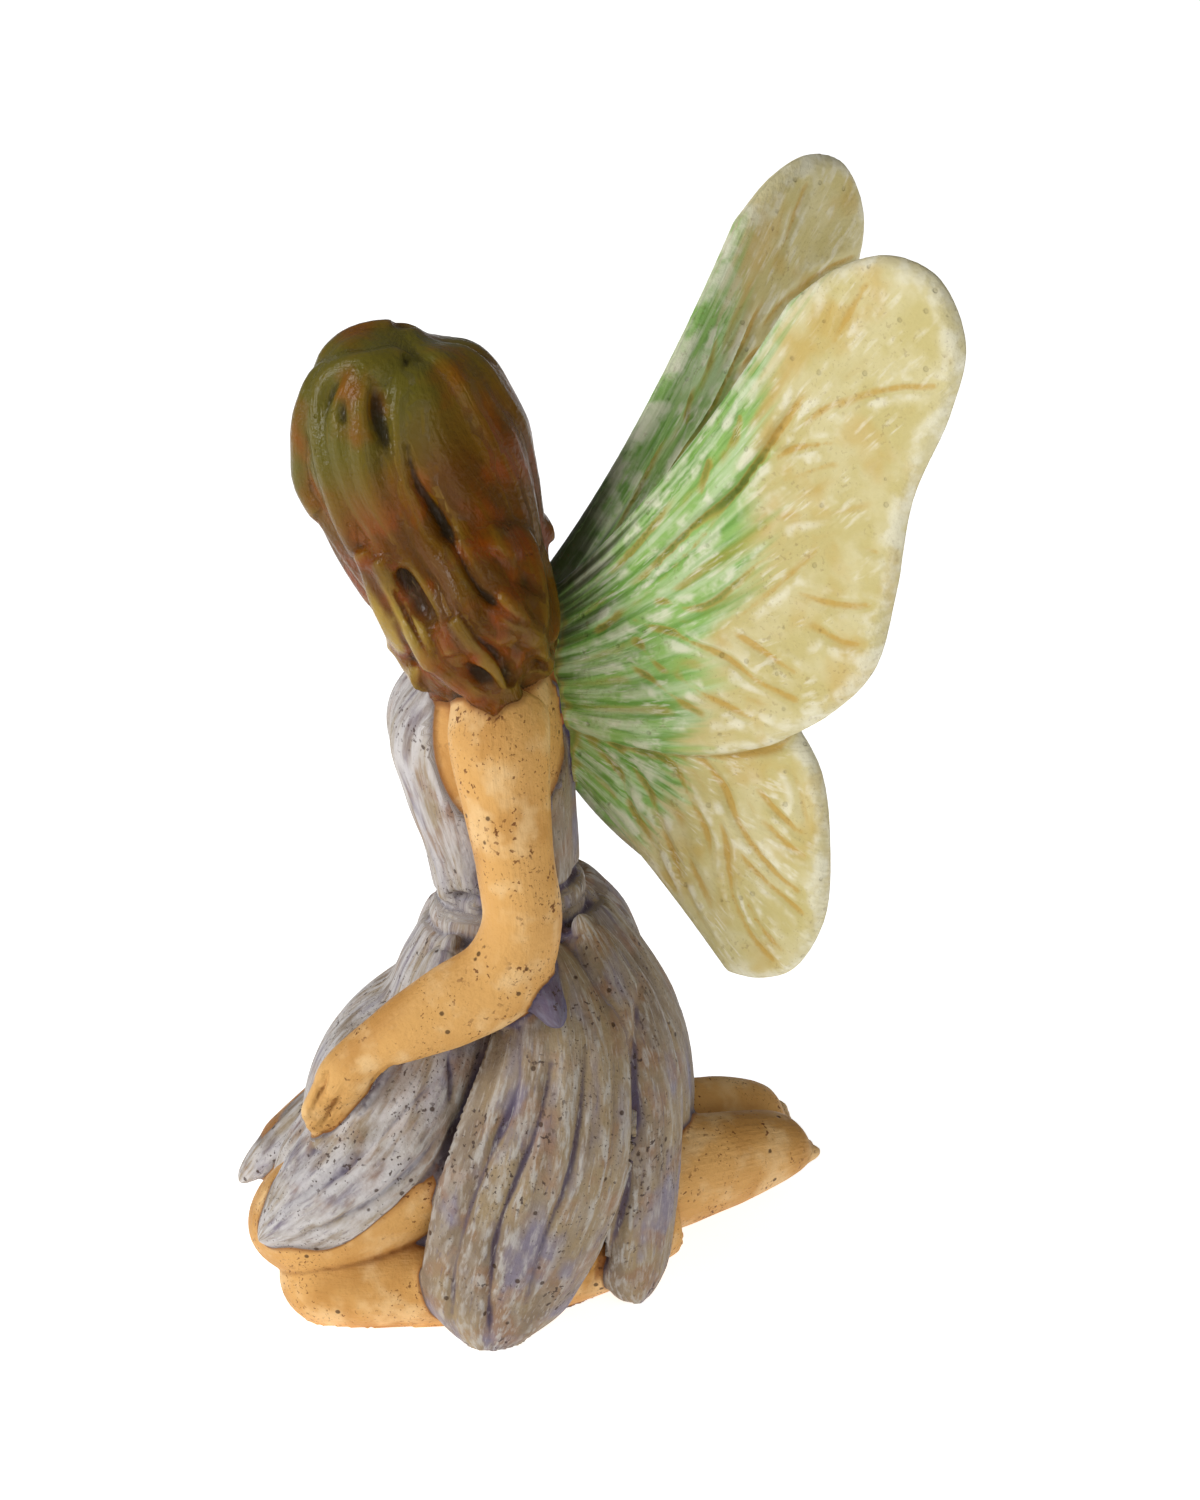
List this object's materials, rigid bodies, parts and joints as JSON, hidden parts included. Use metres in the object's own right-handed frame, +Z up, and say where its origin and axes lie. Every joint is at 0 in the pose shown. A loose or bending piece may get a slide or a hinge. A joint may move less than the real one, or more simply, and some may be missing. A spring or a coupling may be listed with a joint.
{
  "type": "kneeling fairy figurine",
  "caption": "Small painted resin fairy that kneels on her heels with bowed head, long waved hair, petal skirt and two pairs of veined butterfly wings; stands on a flat underside",
  "frame": {"origin": "centre of the object's box in X and Y, on the flat underside", "axes": "+X to the figure's left, -Y the way she kneels, +Z up"},
  "size_m": [0.0358, 0.043, 0.0686],
  "materials": {
    "painted_resin": "satin"
  },
  "bodies": {
    "root": {"fairy_figure": "painted_resin"}
  },
  "joints": []
}
